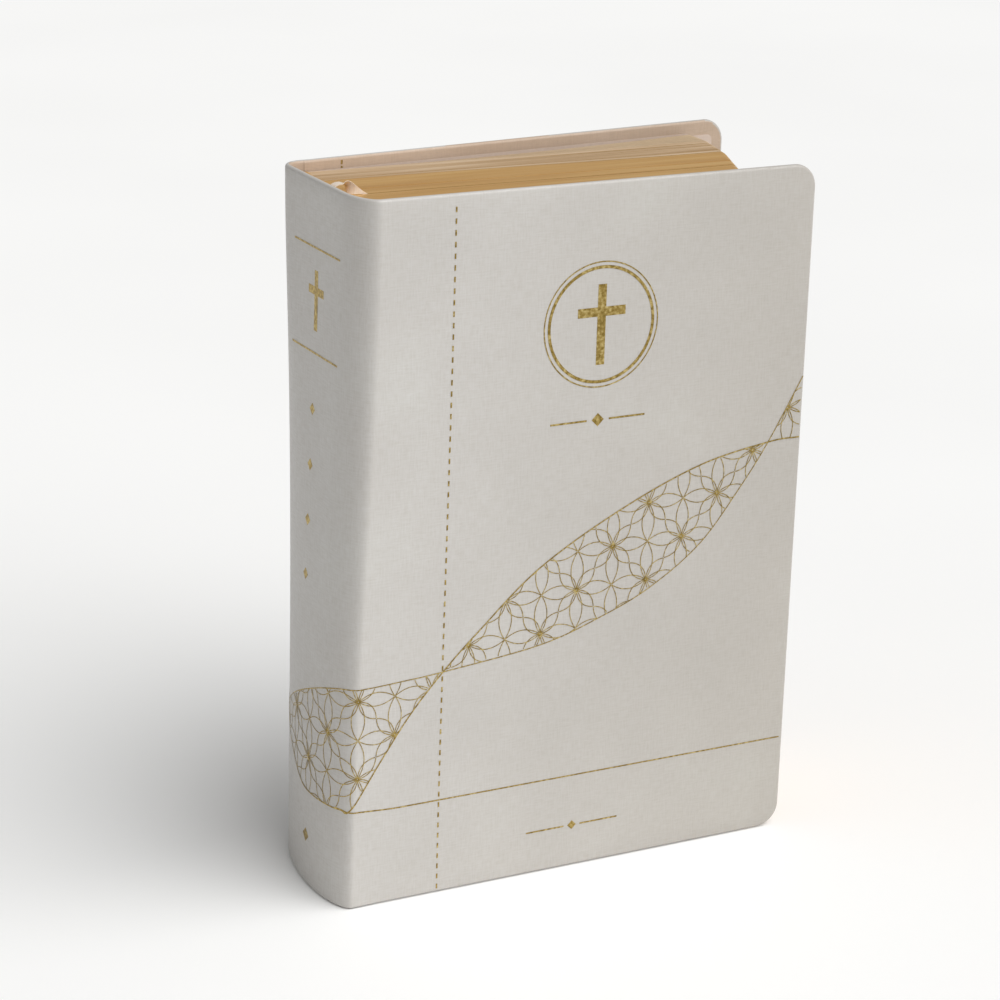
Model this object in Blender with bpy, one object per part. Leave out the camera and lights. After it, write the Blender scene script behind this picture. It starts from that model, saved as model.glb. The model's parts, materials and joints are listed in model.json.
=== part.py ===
"""Study Bible with a soft cloth cover, sewn gatherings and a ribbon marker, standing on its tail.

Frame: +Z runs up the spine, +X from the spine to the fore-edge, +Y from the front cover to the
back cover. The origin is under the middle of the footprint, on the surface the book stands on.
"Book coordinates" below start at the corner line between the spine and the front cover: x from
that line, y from the outer face of the front cover, z from the tail. One empty holds the offset.
"""
import math

import bmesh
import bpy
from mathutils import Matrix, Vector

# ---- Driving dimensions, in metres -------------------------------------------------------------
COVER_HEIGHT = 0.230
HINGE_X = 0.008
COVER_REACH = 0.152
BACK_COVER_REACH = 0.163
BOOK_THICKNESS = 0.062
COVER_CORNER_RADIUS = 0.0078

SKIN_THICKNESS = 0.0008
BOARD_THICKNESS = 0.0008
PASTEDOWN_THICKNESS = 0.0003
FLYLEAF_THICKNESS = 0.0003
TURN_IN_WALL = 0.0010
FLEX_STRIP = 0.0230

GATHERING_COUNT = 24
FRONT_LEAF_END = 0.1375
BACK_LEAF_END = 0.1565
TAIL_SQUARE = 0.0030
HEAD_SQUARE = 0.0035
PAGE_CORNER_RADIUS = 0.0035
SHOULDER_SETBACK = 0.0005
FOLD_ROUNDING = 0.0004

SPINE_SKIN_THICKNESS = 0.0009
SPINE_CARD_THICKNESS = 0.0008
SPINE_HOLLOW = 0.0010
HEAD_BULGE = 0.0000
TAIL_BULGE = 0.0062
HEAD_CORNER_DEPTH = 0.014
TAIL_CORNER_DEPTH = 0.020
HEAD_BACK_CORNER_DEPTH = 0.007
HEAD_CORNER_POWER = 0.50
TAIL_BACK_CORNER_POWER = 0.72
CARD_FRONT_MARGIN = 0.016
CARD_BACK_MARGIN = 0.019

TAPE_THICKNESS = 0.0003
TAPE_WIDTH = 0.012
TAPE_COUNT = 5
MULL_THICKNESS = 0.0003
LINING_THICKNESS = 0.0004
BAND_BEAD_RADIUS = 0.0010
BAND_SKIRT_HEIGHT = 0.012
BAND_STEPS = 16

RIBBON_WIDTH = 0.0034
RIBBON_THICKNESS = 0.00025
RIBBON_AFTER_GATHERING = 9
RIBBON_GLUE_LENGTH = 0.018
RIBBON_ROOT_SHIFT = 0.004
RIBBON_FORE_EDGE_MARGIN = 0.015
RIBBON_TAIL_MARGIN = 0.011
RIBBON_TURN_START = 0.0015
RIBBON_TURN_END = 0.0085

# The back cover of a used book stands off a little; its leaves fan open with it.
BACK_SPLAY_DEG = 5.3
FLYLEAF_FOLLOW = 0.88
LEAF_FOLLOW = (0.38, 0.16, 0.11, 0.08, 0.055, 0.03)
MOVING_GATHERINGS = 6

# ---- Named clearances --------------------------------------------------------------------------
FIT_GAP = 0.0003
HINGE_OFFSET = 0.0003

# ---- Worked out from the values above ----------------------------------------------------------
COVER_THICKNESS = SKIN_THICKNESS + BOARD_THICKNESS + PASTEDOWN_THICKNESS + 2 * FIT_GAP
BLOCK_FRONT = COVER_THICKNESS + FLYLEAF_THICKNESS + 2 * FIT_GAP
BLOCK_BACK = BOOK_THICKNESS - BLOCK_FRONT
RIBBON_SLOT = RIBBON_THICKNESS + 2 * FIT_GAP
SECTION_GAPS = (GATHERING_COUNT - 2) * FIT_GAP + RIBBON_SLOT
GATHERING_THICKNESS = (BLOCK_BACK - BLOCK_FRONT - SECTION_GAPS) / GATHERING_COUNT
MID_Y = BOOK_THICKNESS / 2
TAIL_BACK_CORNER_DEPTH = BOOK_THICKNESS - TAIL_CORNER_DEPTH
HEAD_Z = COVER_HEIGHT - HEAD_SQUARE
BACK_LAYERS = (TAPE_THICKNESS, MULL_THICKNESS, LINING_THICKNESS)
SPINE_FACE = SPINE_SKIN_THICKNESS + FIT_GAP + SPINE_CARD_THICKNESS + SPINE_HOLLOW
BLOCK_SPINE_X = SPINE_FACE + sum(BACK_LAYERS) + len(BACK_LAYERS) * FIT_GAP
BACK_ROUNDING = HINGE_X - SHOULDER_SETBACK - BLOCK_SPINE_X
MULL_END = BAND_SKIRT_HEIGHT + 4 * FIT_GAP
COVER_EDGE_X = HINGE_X + COVER_REACH
SPLAY_COS = math.cos(math.radians(BACK_SPLAY_DEG))
SPLAY_SIN = math.sin(math.radians(BACK_SPLAY_DEG))
BACK_EDGE_X = HINGE_X + BACK_COVER_REACH * SPLAY_COS + HINGE_OFFSET * SPLAY_SIN
BACK_EDGE_Y = BOOK_THICKNESS + HINGE_OFFSET + BACK_COVER_REACH * SPLAY_SIN - HINGE_OFFSET * SPLAY_COS
FOOTPRINT_X = max(COVER_EDGE_X, BACK_EDGE_X) - TAIL_BULGE
FOOTPRINT_CENTRE = Vector((FOOTPRINT_X / 2, BACK_EDGE_Y / 2, 0))


# ---- Scene helpers -----------------------------------------------------------------------------
def clear_scene():
    for item in list(bpy.data.objects):
        bpy.data.objects.remove(item, do_unlink=True)


def make_material(name, color, roughness, metallic=0.0):
    material = bpy.data.materials.new(name)
    material.use_nodes = True
    shader = material.node_tree.nodes["Principled BSDF"]
    shader.inputs["Base Color"].default_value = (*color, 1.0)
    shader.inputs["Roughness"].default_value = roughness
    shader.inputs["Metallic"].default_value = metallic
    return material


def make_empty(name, place, parent=None, turn_deg=0.0):
    empty = bpy.data.objects.new(name, None)
    bpy.context.collection.objects.link(empty)
    empty.parent = parent
    empty.location = place
    empty.rotation_euler = (0, 0, math.radians(turn_deg))
    return empty


def ring_stack(bm, rings):
    """Join rings of equally many points into one closed body, with a cap on each end."""
    loops = [[bm.verts.new(point) for point in ring] for ring in rings]
    count = len(loops[0])
    for lower, upper in zip(loops, loops[1:]):
        for i in range(count):
            j = (i + 1) % count
            bm.faces.new((lower[i], lower[j], upper[j], upper[i]))
    bm.faces.new(list(reversed(loops[0])))
    bm.faces.new(loops[-1])


def add_solid(name, rings, material, parent, pivot=(0, 0)):
    """One node from a stack of rings in book coordinates, with its origin on the pivot."""
    bm = bmesh.new()
    ring_stack(bm, rings)
    shift = Vector((-pivot[0], -pivot[1], 0))
    bmesh.ops.translate(bm, verts=bm.verts, vec=shift)
    bmesh.ops.recalc_face_normals(bm, faces=bm.faces)
    mesh = bpy.data.meshes.new(name)
    bm.to_mesh(mesh)
    bm.free()
    mesh.materials.append(material)
    solid = bpy.data.objects.new(name, mesh)
    bpy.context.collection.objects.link(solid)
    solid.parent = parent
    return solid


# ---- Outlines ----------------------------------------------------------------------------------
def cover_outline(start_x, end_x, low_z, high_z, radius, steps=6):
    """(x, z) outline of a leaf or board: square at the spine side, round at the fore-edge."""
    points = [(start_x, low_z)]
    for centre_z, first_turn in ((low_z + radius, -90), (high_z - radius, 0)):
        for i in range(steps + 1):
            turn = math.radians(first_turn + 90 * i / steps)
            points.append((end_x - radius + radius * math.cos(turn), centre_z + radius * math.sin(turn)))
    points.append((start_x, high_z))
    return points


def plate_ring(outline, y):
    return [(x, y, z) for x, z in outline]


def block_spine_x(y, offset=0.0):
    """The rounded back of the leaf block, bowed towards the spine in the middle."""
    half = MID_Y - BLOCK_FRONT
    return BLOCK_SPINE_X + BACK_ROUNDING * ((y - MID_Y) / half) ** 2 - offset


def fore_edge_x(y):
    """The leaning fore-edge of the leaf block: each leaf ends a little beyond the one in front."""
    share = (y - BLOCK_FRONT) / (BLOCK_BACK - BLOCK_FRONT)
    return FRONT_LEAF_END + (BACK_LEAF_END - FRONT_LEAF_END) * share


def spine_share(z):
    """0 at the tail and 1 at the head, eased at both ends."""
    share = z / COVER_HEIGHT
    return share * share * (3 - 2 * share)


def spine_face_x(y, z):
    """Outer face of the spine at height z: a tight front corner, a flat, and a back corner
    that leans away from the flat, far at the tail and little at the head."""
    share = spine_share(z)
    bulge = TAIL_BULGE + (HEAD_BULGE - TAIL_BULGE) * share
    front_depth = TAIL_CORNER_DEPTH + (HEAD_CORNER_DEPTH - TAIL_CORNER_DEPTH) * share
    back_change = HEAD_BACK_CORNER_DEPTH - TAIL_BACK_CORNER_DEPTH
    back_depth = TAIL_BACK_CORNER_DEPTH + back_change * share * share
    end_x = HINGE_X - 2 * FIT_GAP
    if y < front_depth:
        corner_x = end_x * share
        inward = (front_depth - y) / front_depth
        power = HEAD_CORNER_POWER
    else:
        corner_x = end_x
        inward = max(y - BOOK_THICKNESS + back_depth, 0.0) / back_depth
        power = TAIL_BACK_CORNER_POWER + (HEAD_CORNER_POWER - TAIL_BACK_CORNER_POWER) * share
    return corner_x - (corner_x + bulge) * max(1 - inward * inward, 0.0) ** power


# ---- Covers ------------------------------------------------------------------------------------
def mirror_rings(rings):
    """The same rings on the back half of the book."""
    return [[(x, BOOK_THICKNESS - y, z) for x, y, z in ring] for ring in rings]


def cover_stack(edge_x, leaf_end):
    """Rings of the skin, board, pastedown and flyleaf of a closed cover, placed as the front one."""
    edge = FIT_GAP / 2
    outer = cover_outline(HINGE_X + edge, edge_x, 0, COVER_HEIGHT, COVER_CORNER_RADIUS)
    wall = TURN_IN_WALL
    pocket = cover_outline(
        HINGE_X + wall, edge_x - wall, wall, COVER_HEIGHT - wall, COVER_CORNER_RADIUS - wall
    )
    inset = wall + FIT_GAP
    low_z = inset
    high_z = COVER_HEIGHT - inset
    end_x = edge_x - inset
    radius = COVER_CORNER_RADIUS - inset
    board = cover_outline(HINGE_X + FLEX_STRIP, end_x, low_z, high_z, radius)
    lining = cover_outline(HINGE_X + inset, end_x, low_z, high_z, radius)
    leaf = cover_outline(HINGE_X + FIT_GAP, leaf_end, TAIL_SQUARE, HEAD_Z, PAGE_CORNER_RADIUS)
    board_y = SKIN_THICKNESS + FIT_GAP
    lining_y = board_y + BOARD_THICKNESS + FIT_GAP
    leaf_y = COVER_THICKNESS + FIT_GAP
    return {
        "cover_skin": [
            plate_ring(outer, 0),
            plate_ring(outer, COVER_THICKNESS),
            plate_ring(pocket, COVER_THICKNESS),
            plate_ring(pocket, SKIN_THICKNESS),
        ],
        "cover_board": [plate_ring(board, board_y), plate_ring(board, board_y + BOARD_THICKNESS)],
        "pastedown": [plate_ring(lining, lining_y), plate_ring(lining, lining_y + PASTEDOWN_THICKNESS)],
        "flyleaf": [plate_ring(leaf, leaf_y), plate_ring(leaf, leaf_y + FLYLEAF_THICKNESS)],
    }


def build_covers(book, looks):
    sides = (
        ("front", 0.0, COVER_REACH, FRONT_LEAF_END),
        ("back", BACK_SPLAY_DEG, BACK_COVER_REACH, BACK_LEAF_END),
    )
    for side, splay, reach, leaf_end in sides:
        pivot_y = -HINGE_OFFSET if side == "front" else BOOK_THICKNESS + HINGE_OFFSET
        pivot = (HINGE_X, pivot_y)
        place = (*pivot, 0)
        cover_hinge = make_empty(side + "_cover_hinge", place, book, splay)
        leaf_hinge = make_empty(side + "_flyleaf_hinge", place, book, splay * FLYLEAF_FOLLOW)
        for part, rings in cover_stack(HINGE_X + reach, leaf_end).items():
            parent = leaf_hinge if part == "flyleaf" else cover_hinge
            side_rings = rings if side == "front" else mirror_rings(rings)
            add_solid(side + "_" + part, side_rings, looks[part], parent, pivot)


# ---- Leaf block --------------------------------------------------------------------------------
def gathering_rings(front_y):
    """A folded section: flat sides and a rounded fold along the spine."""
    stations = (
        (front_y, FOLD_ROUNDING),
        (front_y + FOLD_ROUNDING, 0.0),
        (front_y + GATHERING_THICKNESS - FOLD_ROUNDING, 0.0),
        (front_y + GATHERING_THICKNESS, FOLD_ROUNDING),
    )
    rings = []
    for y, inset in stations:
        start_x = block_spine_x(y) + inset
        outline = cover_outline(start_x, fore_edge_x(y), TAIL_SQUARE, HEAD_Z, PAGE_CORNER_RADIUS)
        rings.append(plate_ring(outline, y))
    return rings


def gathering_front(number):
    """Front face of gathering 1 to GATHERING_COUNT; the ribbon's slot follows one of them."""
    front = BLOCK_FRONT + (number - 1) * (GATHERING_THICKNESS + FIT_GAP)
    return front + (RIBBON_SLOT - FIT_GAP if number > RIBBON_AFTER_GATHERING else 0.0)


def build_gatherings(book, looks):
    """Outer gatherings turn about their spine corner; the middle ones stay with the spine."""
    for number in range(1, GATHERING_COUNT + 1):
        front_y = gathering_front(number)
        rank_back = GATHERING_COUNT + 1 - number
        name = f"gathering_{number:02d}"
        parent = book
        pivot = (0, 0)
        if number <= MOVING_GATHERINGS:
            pivot = (block_spine_x(front_y) + FOLD_ROUNDING, front_y)
            parent = make_empty(name + "_hinge", (*pivot, 0), book)
        elif rank_back <= MOVING_GATHERINGS:
            back_y = front_y + GATHERING_THICKNESS
            pivot = (block_spine_x(back_y) + FOLD_ROUNDING, back_y)
            turn = BACK_SPLAY_DEG * LEAF_FOLLOW[rank_back - 1]
            parent = make_empty(name + "_hinge", (*pivot, 0), book, turn)
        add_solid(name, gathering_rings(front_y), looks["leaves"], parent, pivot)


# ---- Spine -------------------------------------------------------------------------------------
def arc_layer_ring(offset, thickness, low_y, high_y, z, steps=14):
    """Plan section, at height z, of a layer that follows the back of the leaf block."""
    ys = [low_y + (high_y - low_y) * i / steps for i in range(steps + 1)]
    near = [(block_spine_x(y, offset), y, z) for y in ys]
    far = [(block_spine_x(y, offset + thickness), y, z) for y in reversed(ys)]
    return near + far


def layer(offset, thickness, low_y, high_y, low_z, high_z):
    return [arc_layer_ring(offset, thickness, low_y, high_y, z) for z in (low_z, high_z)]


def spine_section_ys(steps=22):
    """Stations across the spine, closer together on the rounded corners."""
    return [MID_Y * (1 - math.cos(math.pi * i / steps)) for i in range(steps + 1)]


def spine_skin_ring(z):
    """C-shaped plan section of the spine skin, from hinge line round to hinge line."""
    lip = HINGE_X - FIT_GAP / 2
    outer = [(lip, 0.0)]
    outer += [(spine_face_x(y, z), y) for y in spine_section_ys()]
    outer.append((lip, BOOK_THICKNESS))
    inner = [(lip, SPINE_SKIN_THICKNESS)]
    for before, here, after in zip(outer, outer[1:], outer[2:]):
        run = (Vector(after) - Vector(before)).normalized()
        inner.append((here[0] + run.y * SPINE_SKIN_THICKNESS, here[1] - run.x * SPINE_SKIN_THICKNESS))
    inner.append((lip, BOOK_THICKNESS - SPINE_SKIN_THICKNESS))
    return [(x, y, z) for x, y in outer + inner[::-1]]


def spine_card_ring(z, steps=12):
    """Plan section of the card that stiffens the spine, between the two corners."""
    low_y = CARD_FRONT_MARGIN
    high_y = BOOK_THICKNESS - CARD_BACK_MARGIN
    near = SPINE_SKIN_THICKNESS + FIT_GAP
    far = near + SPINE_CARD_THICKNESS
    ys = [low_y + (high_y - low_y) * i / steps for i in range(steps + 1)]
    front = [(spine_face_x(y, z) + near, y, z) for y in ys]
    back = [(spine_face_x(y, z) + far, y, z) for y in reversed(ys)]
    return front + back


def height_steps(low_z, high_z, steps=8):
    return [low_z + (high_z - low_z) * i / steps for i in range(steps + 1)]


def band_section(y, head, skirt_offset, bead_steps=10):
    """Section of a headband or tailband at y: a skirt glued to the spine, and a bead on top."""
    edge_z = HEAD_Z if head else TAIL_SQUARE
    sense = 1 if head else -1
    bead_x = block_spine_x(y, skirt_offset + MULL_THICKNESS - BAND_BEAD_RADIUS)
    bead_z = edge_z + sense * (FIT_GAP + BAND_BEAD_RADIUS)
    outer_x = block_spine_x(y, skirt_offset + MULL_THICKNESS)
    inner_x = block_spine_x(y, skirt_offset)
    join_turn = math.acos(1 - MULL_THICKNESS / BAND_BEAD_RADIUS)
    join_z = bead_z - sense * BAND_BEAD_RADIUS * math.sin(join_turn)
    skirt_z = edge_z - sense * BAND_SKIRT_HEIGHT
    section = [(outer_x, y, skirt_z), (outer_x, y, bead_z)]
    for i in range(1, bead_steps):
        turn = math.pi - (2 * math.pi - join_turn) * i / bead_steps
        out_x = BAND_BEAD_RADIUS * math.cos(turn)
        up_z = sense * BAND_BEAD_RADIUS * math.sin(turn)
        section.append((bead_x + out_x, y, bead_z + up_z))
    section.append((inner_x, y, join_z))
    section.append((inner_x, y, skirt_z))
    return section


def build_spine(book, looks):
    """Skin and card outside the hollow; lining, mull and tapes glued to the leaf block."""
    skin_rings = [spine_skin_ring(z) for z in height_steps(0, COVER_HEIGHT)]
    add_solid("spine_skin", skin_rings, looks["cover_skin"], book)
    card_rings = [spine_card_ring(z) for z in height_steps(TURN_IN_WALL, COVER_HEIGHT - TURN_IN_WALL)]
    add_solid("spine_stiffener", card_rings, looks["cover_board"], book)

    low_y = BLOCK_FRONT + GATHERING_THICKNESS / 2
    high_y = BOOK_THICKNESS - low_y
    tape_offset = FIT_GAP
    mull_offset = tape_offset + TAPE_THICKNESS + FIT_GAP
    lining_offset = mull_offset + MULL_THICKNESS + FIT_GAP
    leaf_height = HEAD_Z - TAIL_SQUARE
    for number in range(1, TAPE_COUNT + 1):
        middle = TAIL_SQUARE + leaf_height * number / (TAPE_COUNT + 1)
        tape_low = middle - TAPE_WIDTH / 2
        tape = layer(tape_offset, TAPE_THICKNESS, low_y, high_y, tape_low, tape_low + TAPE_WIDTH)
        add_solid(f"sewing_tape_{number}", tape, looks["tape"], book)
    low_z = TAIL_SQUARE + MULL_END
    high_z = HEAD_Z - MULL_END
    mull = layer(mull_offset, MULL_THICKNESS, low_y, high_y, low_z, high_z)
    add_solid("spine_mull", mull, looks["mull"], book)
    lining_top = HEAD_Z - RIBBON_GLUE_LENGTH - MULL_END
    lining = layer(lining_offset, LINING_THICKNESS, low_y, high_y, low_z, lining_top)
    add_solid("spine_lining", lining, looks["lining"], book)

    band_ys = [low_y + (high_y - low_y) * i / BAND_STEPS for i in range(BAND_STEPS + 1)]
    for name, head in (("headband", True), ("tailband", False)):
        sections = [band_section(y, head, mull_offset) for y in band_ys]
        add_solid(name, sections, looks["band"], book)
    return lining_offset


# ---- Ribbon marker -----------------------------------------------------------------------------
def smooth_route(points, per_span=5):
    """Catmull-Rom curve through the route's own points."""
    route = [Vector(point) for point in points]
    route = [2 * route[0] - route[1]] + route + [2 * route[-1] - route[-2]]
    result = []
    for a, b, c, d in zip(route, route[1:], route[2:], route[3:]):
        for i in range(per_span):
            t = i / per_span
            bend = (2 * a - 5 * b + 4 * c - d) * t**2
            swing = (3 * b - a - 3 * c + d) * t**3
            result.append((2 * b + (c - a) * t + bend + swing) / 2)
    result.append(route[-2])
    return result


def ribbon_route(lining_offset):
    """Up the spine, over the headband, then turned on edge into its slot and down the page."""
    slot_y = gathering_front(RIBBON_AFTER_GATHERING) + GATHERING_THICKNESS + RIBBON_SLOT / 2
    root_y = slot_y + RIBBON_ROOT_SHIFT
    root_x = block_spine_x(root_y, lining_offset + RIBBON_THICKNESS / 2)
    bead_x = block_spine_x(root_y)
    arch_z = HEAD_Z + 2 * BAND_BEAD_RADIUS + 2 * FIT_GAP + RIBBON_THICKNESS
    on_edge_z = HEAD_Z + RIBBON_WIDTH / 2 + FIT_GAP / 2
    end_x = fore_edge_x(slot_y) - RIBBON_FORE_EDGE_MARGIN
    end_z = TAIL_SQUARE + RIBBON_TAIL_MARGIN
    return [
        (root_x, root_y, HEAD_Z - RIBBON_GLUE_LENGTH),
        (root_x, root_y, HEAD_Z - RIBBON_GLUE_LENGTH / 2),
        (root_x, root_y, HEAD_Z - 0.0030),
        (root_x, root_y, HEAD_Z + 0.0012),
        (bead_x - 0.0002, root_y, arch_z),
        (bead_x + 0.0025, root_y - 0.0005, arch_z),
        (bead_x + 0.0055, slot_y + 0.0020, on_edge_z),
        (bead_x + 0.0085, slot_y + 0.0002, on_edge_z),
        (bead_x + 0.0120, slot_y, on_edge_z - 0.0006),
        (bead_x + 0.0170, slot_y, HEAD_Z - 0.0010),
        (bead_x + 0.0240, slot_y, HEAD_Z - 0.0070),
        (bead_x + 0.0320, slot_y, HEAD_Z - 0.0170),
        (bead_x + 0.0500, slot_y, HEAD_Z - 0.0480),
        ((bead_x + end_x) / 2 + 0.0140, slot_y, (HEAD_Z + end_z) / 2 - 0.0120),
        (end_x, slot_y, end_z),
    ]


def build_ribbon(book, looks, lining_offset):
    route = smooth_route(ribbon_route(lining_offset))
    flat_until = BLOCK_SPINE_X + RIBBON_TURN_START
    on_edge_from = BLOCK_SPINE_X + RIBBON_TURN_END
    rings = []
    for i, point in enumerate(route):
        ahead = route[min(i + 1, len(route) - 1)]
        behind = route[max(i - 1, 0)]
        run = (ahead - behind).normalized()
        share = min(max((point.x - flat_until) / (on_edge_from - flat_until), 0.0), 1.0)
        share = share * share * (3 - 2 * share)
        flat_side = Vector((0, 1, 0))
        flat_side = (flat_side - run * flat_side.dot(run)).normalized()
        side = Matrix.Rotation(-math.pi / 2 * share, 3, run) @ flat_side
        face = run.cross(side)
        half_width = side * RIBBON_WIDTH / 2
        half_face = face * RIBBON_THICKNESS / 2
        near, far = point + half_face, point - half_face
        rings.append([near + half_width, near - half_width, far - half_width, far + half_width])
    add_solid("ribbon_marker", rings, looks["ribbon"], book)


# ---- The book ----------------------------------------------------------------------------------
def make_looks():
    return {
        "cover_skin": make_material("pearl_linen_cloth", (0.58, 0.56, 0.51), 0.45),
        "cover_board": make_material("grey_card", (0.42, 0.40, 0.37), 0.85),
        "pastedown": make_material("cream_endpaper", (0.72, 0.66, 0.56), 0.75),
        "flyleaf": make_material("cream_flyleaf", (0.74, 0.68, 0.58), 0.75),
        "leaves": make_material("gilt_leaves", (0.50, 0.31, 0.12), 0.35, 0.6),
        "tape": make_material("cotton_tape", (0.62, 0.57, 0.47), 0.90),
        "mull": make_material("open_mull_cloth", (0.66, 0.62, 0.54), 0.90),
        "lining": make_material("kraft_lining", (0.42, 0.30, 0.19), 0.85),
        "band": make_material("yellow_silk_band", (0.75, 0.50, 0.12), 0.55),
        "ribbon": make_material("cream_satin_ribbon", (0.78, 0.64, 0.53), 0.35),
    }


def build_book():
    looks = make_looks()
    book = make_empty("book_frame", -FOOTPRINT_CENTRE)
    build_covers(book, looks)
    build_gatherings(book, looks)
    lining_offset = build_spine(book, looks)
    build_ribbon(book, looks, lining_offset)


clear_scene()
build_book()
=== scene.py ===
# %% [markdown]
# # A study Bible in a soft linen cover
#
# This book is a soft-cover Bible: one cloth case of pale pearl linen, gold foil pressed into the
# cloth, a sewn block of gilt-edged leaves, silk bands at both ends of the spine and a satin
# marker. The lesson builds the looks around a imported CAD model, which says where each part sits
# and how the covers and leaves turn.

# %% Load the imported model
import json
import math
import random
from functools import lru_cache

import bpy
import numpy as np
from mathutils import Matrix, Vector


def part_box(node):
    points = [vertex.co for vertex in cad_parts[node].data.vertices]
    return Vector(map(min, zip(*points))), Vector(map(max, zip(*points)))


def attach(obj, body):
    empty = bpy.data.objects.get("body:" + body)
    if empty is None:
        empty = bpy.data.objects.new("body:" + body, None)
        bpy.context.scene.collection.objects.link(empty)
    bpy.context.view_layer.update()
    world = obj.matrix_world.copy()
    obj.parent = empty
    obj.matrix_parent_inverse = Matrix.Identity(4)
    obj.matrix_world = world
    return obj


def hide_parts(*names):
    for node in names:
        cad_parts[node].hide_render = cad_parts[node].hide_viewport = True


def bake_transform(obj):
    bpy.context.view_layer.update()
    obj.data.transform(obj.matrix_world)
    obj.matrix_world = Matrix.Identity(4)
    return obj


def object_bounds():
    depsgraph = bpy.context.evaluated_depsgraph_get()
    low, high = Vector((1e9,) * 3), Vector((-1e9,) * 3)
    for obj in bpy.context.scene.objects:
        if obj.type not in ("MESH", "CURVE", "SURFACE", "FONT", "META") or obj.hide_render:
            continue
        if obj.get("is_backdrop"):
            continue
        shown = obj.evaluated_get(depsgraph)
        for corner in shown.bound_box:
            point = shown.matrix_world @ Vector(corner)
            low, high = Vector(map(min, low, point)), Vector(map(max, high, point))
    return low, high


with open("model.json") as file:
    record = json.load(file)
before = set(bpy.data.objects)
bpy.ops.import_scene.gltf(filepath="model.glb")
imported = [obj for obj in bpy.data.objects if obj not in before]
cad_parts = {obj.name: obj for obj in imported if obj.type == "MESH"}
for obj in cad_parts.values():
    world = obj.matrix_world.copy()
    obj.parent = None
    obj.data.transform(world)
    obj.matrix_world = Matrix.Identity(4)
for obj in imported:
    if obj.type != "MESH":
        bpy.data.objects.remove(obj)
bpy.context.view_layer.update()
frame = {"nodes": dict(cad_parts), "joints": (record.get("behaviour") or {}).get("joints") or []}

# %% [markdown]
# ## Book coordinates
#
# Every piece is drawn closed, in millimetres, from the corner where the spine meets the front
# cover: x runs to the fore-edge, y through the book and z up from the tail. The values come from
# the CAD nodes and joints, so the pieces land where the CAD model has them.

# %% Read the sizes from the CAD model
MM = 1000
HINGE_X = 8.0
HINGE_OFFSET = 0.3
joints = {joint["name"]: joint for joint in frame["joints"]}


def joint_place(name):
    return Vector(joints[name]["pos_m"]) * MM


def rest_turn(name):
    """How far, in degrees, a joint of the back half stands open at rest."""
    return -joints[name]["range_deg"][0]


corner = joint_place("front_cover_hinge") - Vector((HINGE_X, -HINGE_OFFSET, 0))


def book_box(node):
    """Lowest and highest corner of a CAD node, in book coordinates."""
    low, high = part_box(node)
    return low * MM - corner, high * MM - corner


cover_high = book_box("front_cover_skin")[1]
leaf_low, leaf_high = book_box("gathering_12")
FRONT_LEAF_END = book_box("front_flyleaf")[1].x
HEIGHT = cover_high.z
REACH = cover_high.x
hinge_gap = joint_place("back_cover_hinge").y - joint_place("front_cover_hinge").y
THICKNESS = hinge_gap - 2 * HINGE_OFFSET
TAIL_BULGE = -book_box("spine_skin")[0].x
SPLAY = rest_turn("back_cover_hinge")


def closed_reach(node, turn):
    """Fore-edge of a back piece before its joint opened it by this turn."""
    turn = math.radians(turn)
    open_reach = book_box(node)[1].x - HINGE_X
    return HINGE_X + (open_reach - HINGE_OFFSET * math.sin(turn)) / math.cos(turn)


BACK_REACH = closed_reach("back_cover_skin", SPLAY)
BACK_LEAF_END = closed_reach("back_flyleaf", rest_turn("back_flyleaf_hinge"))
print(f"book {REACH:.1f} x {THICKNESS:.1f} x {HEIGHT:.1f} mm, back cover open {SPLAY:.1f} degrees")

# %% [markdown]
# ## Camera, light and floor
#
# The camera stands about nine hundred millimetres off, to the left of the front cover and a
# little above it. One broad soft light comes from the right and above, so the front cover is
# bright and the spine stays in soft shade. A pale sky fills the shade, and the floor does too.
# The standard view shows the paint-chart colours as they are chosen, without a film curve.

# %% Camera
CAMERA_PLACE = (-355.28, -766.81, 419.72)
CAMERA_AZIMUTH = 27.80
CAMERA_ELEVATION = 18.41
CAMERA_ROLL = 1.60
CAMERA_LENS = 105.26


def camera_axes(azimuth, elevation, roll):
    """Right, up and forward of a level camera turned about its own line of sight."""
    a, e, r = (math.radians(value) for value in (azimuth, elevation, roll))
    forward = Vector((math.sin(a) * math.cos(e), math.cos(a) * math.cos(e), -math.sin(e)))
    level = Vector((math.cos(a), -math.sin(a), 0))
    upright = level.cross(forward)
    right = level * math.cos(r) + upright * math.sin(r)
    return right, upright * math.cos(r) - level * math.sin(r), forward


right, up, forward = camera_axes(CAMERA_AZIMUTH, CAMERA_ELEVATION, CAMERA_ROLL)
camera_data = bpy.data.cameras.new("camera")
camera_data.lens = CAMERA_LENS
camera_data.sensor_width = 36.0
camera_data.clip_start = 0.01
camera_data.clip_end = 20.0
camera = bpy.data.objects.new("camera", camera_data)
bpy.context.scene.collection.objects.link(camera)
camera.rotation_mode = "QUATERNION"
turned = Matrix((right, up, -forward)).transposed()
camera.rotation_quaternion = turned.to_quaternion()
camera.location = (Vector(CAMERA_PLACE) + corner) / MM
bpy.context.scene.camera = camera
print("camera at", [round(value, 3) for value in camera.location])

# %% [markdown]
# ### Lamps and sky
#
# A studio soft box is wide, so its shadows have no hard edge. A sun lamp with a wide angle gives
# that with few numbers, where an area lamp would also fall off with distance. The sky is nearly
# white and weak, so that the spine stays darker than the cover.

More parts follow.
